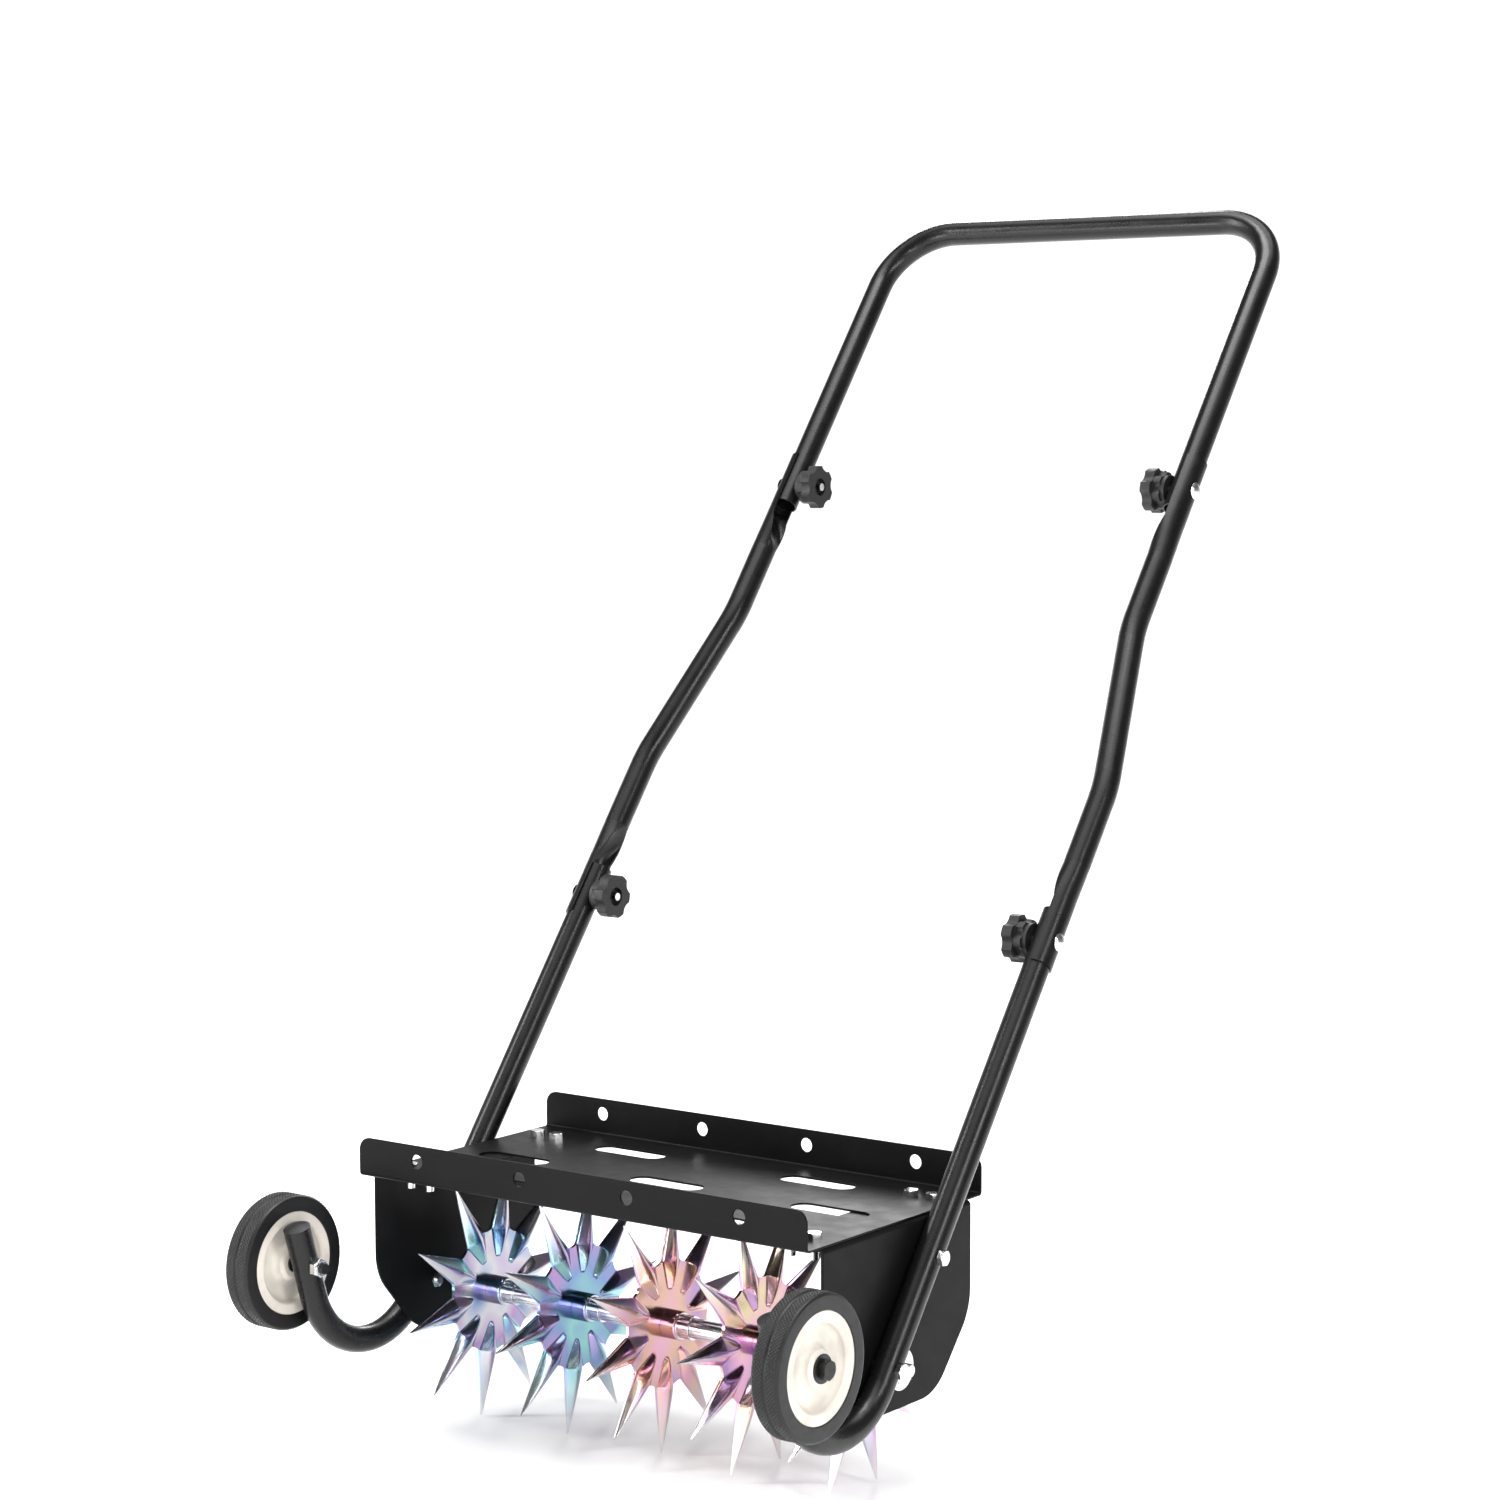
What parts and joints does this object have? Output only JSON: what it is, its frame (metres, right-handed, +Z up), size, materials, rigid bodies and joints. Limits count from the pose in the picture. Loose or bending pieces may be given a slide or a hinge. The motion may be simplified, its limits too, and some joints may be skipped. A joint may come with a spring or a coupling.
{
  "type": "rolling spike aerator",
  "caption": "Push lawn aerator: pressed-steel star wheels turn on an axle under a flanged ballast tray, with transport wheels on hooked legs and a three-piece folding handle.",
  "frame": {"origin": "middle of the footprint on the ground under the machine, half way between the two sides and between the front of the tyres and the back of the handle bar", "axes": "X runs across the machine along the star axle, +Y points back towards the handle, +Z is up; star 1 and the nodes called left are on the -X side"},
  "size_m": [0.648, 1.0074, 1.1718],
  "materials": {
    "black_sheet": "satin black powder coat",
    "black_tube": "satin black powder coat",
    "black_plastic": "fine-textured black plastic",
    "black_nylon": "black nylon",
    "black_rubber": "moulded black rubber with knurled tread",
    "cream_plastic": "cream plastic",
    "black_bolt": "black oxide steel",
    "bright_zinc": "bright zinc plate",
    "zinc_star_1": "rainbow chromated zinc, mostly blue and teal",
    "zinc_star_2": "rainbow chromated zinc, mostly teal and violet",
    "zinc_star_3": "rainbow chromated zinc, mostly pink and orange",
    "zinc_star_4": "rainbow chromated zinc, mostly pink and gold",
    "zinc_star_5": "rainbow chromated zinc, pink and violet"
  },
  "bodies": {
    "chassis": {"tray_deck": "black_sheet", "side_plate_left": "black_sheet", "side_plate_right": "black_sheet", "tray_bolts": "bright_zinc", "tray_nuts": "bright_zinc", "lower_tube_left": "black_tube", "lower_tube_right": "black_tube", "tube_end_caps": "black_plastic", "tube_bolts": "bright_zinc", "tube_nuts": "bright_zinc", "spike_axle": "bright_zinc", "axle_washers": "bright_zinc", "cotter_pins": "bright_zinc", "axle_spacers": "bright_zinc", "wheel_bolts": "black_bolt", "wheel_nuts": "bright_zinc", "middle_tube_left": "black_tube", "middle_tube_right": "black_tube", "upper_handle": "black_tube", "handle_bolts": "bright_zinc"},
    "star_1": {"star_1_left_plate": "zinc_star_1", "star_1_right_plate": "zinc_star_1", "star_1_hub": "zinc_star_1"},
    "star_2": {"star_2_left_plate": "zinc_star_2", "star_2_right_plate": "zinc_star_2", "star_2_hub": "zinc_star_2"},
    "star_3": {"star_3_left_plate": "zinc_star_3", "star_3_right_plate": "zinc_star_3", "star_3_hub": "zinc_star_3"},
    "star_4": {"star_4_left_plate": "zinc_star_4", "star_4_right_plate": "zinc_star_4", "star_4_hub": "zinc_star_4"},
    "star_5": {"star_5_left_plate": "zinc_star_5", "star_5_right_plate": "zinc_star_5", "star_5_hub": "zinc_star_5"},
    "wheel_left": {"wheel_left_tyre": "black_rubber", "wheel_left_rim": "cream_plastic", "wheel_left_bushings": "black_nylon"},
    "wheel_right": {"wheel_right_tyre": "black_rubber", "wheel_right_rim": "cream_plastic", "wheel_right_bushings": "black_nylon"},
    "knob_lower_left": {"knob_lower_left": "black_plastic"},
    "knob_lower_right": {"knob_lower_right": "black_plastic"},
    "knob_upper_left": {"knob_upper_left": "black_plastic"},
    "knob_upper_right": {"knob_upper_right": "black_plastic"}
  },
  "joints": [
    {"name": "star_1_spin", "type": "hinge", "parent": "chassis", "child": "star_1", "pos_m": [-0.213, -0.24524, 0.12107], "axis": [1, 0, 0], "continuous": true},
    {"name": "star_2_spin", "type": "hinge", "parent": "chassis", "child": "star_2", "pos_m": [-0.1065, -0.24524, 0.12107], "axis": [1, 0, 0], "continuous": true},
    {"name": "star_3_spin", "type": "hinge", "parent": "chassis", "child": "star_3", "pos_m": [0, -0.24524, 0.12107], "axis": [1, 0, 0], "continuous": true},
    {"name": "star_4_spin", "type": "hinge", "parent": "chassis", "child": "star_4", "pos_m": [0.1065, -0.24524, 0.12107], "axis": [1, 0, 0], "continuous": true},
    {"name": "star_5_spin", "type": "hinge", "parent": "chassis", "child": "star_5", "pos_m": [0.213, -0.24524, 0.12107], "axis": [1, 0, 0], "continuous": true},
    {"name": "wheel_left_spin", "type": "hinge", "parent": "chassis", "child": "wheel_left", "pos_m": [-0.3015, -0.44019, 0.17505], "axis": [1, 0, 0], "continuous": true},
    {"name": "wheel_right_spin", "type": "hinge", "parent": "chassis", "child": "wheel_right", "pos_m": [0.3015, -0.44019, 0.17505], "axis": [1, 0, 0], "continuous": true},
    {"name": "knob_lower_left_turn", "type": "hinge", "parent": "chassis", "child": "knob_lower_left", "pos_m": [-0.24835, -0.02404, 0.47567], "axis": [1, 0, 0], "range_deg": [0, 1080]},
    {"name": "knob_lower_right_turn", "type": "hinge", "parent": "chassis", "child": "knob_lower_right", "pos_m": [0.24835, -0.02404, 0.47567], "axis": [-1, 0, 0], "range_deg": [0, 1080]},
    {"name": "knob_upper_left_turn", "type": "hinge", "parent": "chassis", "child": "knob_upper_left", "pos_m": [-0.21375, 0.28373, 0.88409], "axis": [1, 0, 0], "range_deg": [0, 1080]},
    {"name": "knob_upper_right_turn", "type": "hinge", "parent": "chassis", "child": "knob_upper_right", "pos_m": [0.21375, 0.28373, 0.88409], "axis": [-1, 0, 0], "range_deg": [0, 1080]}
  ]
}
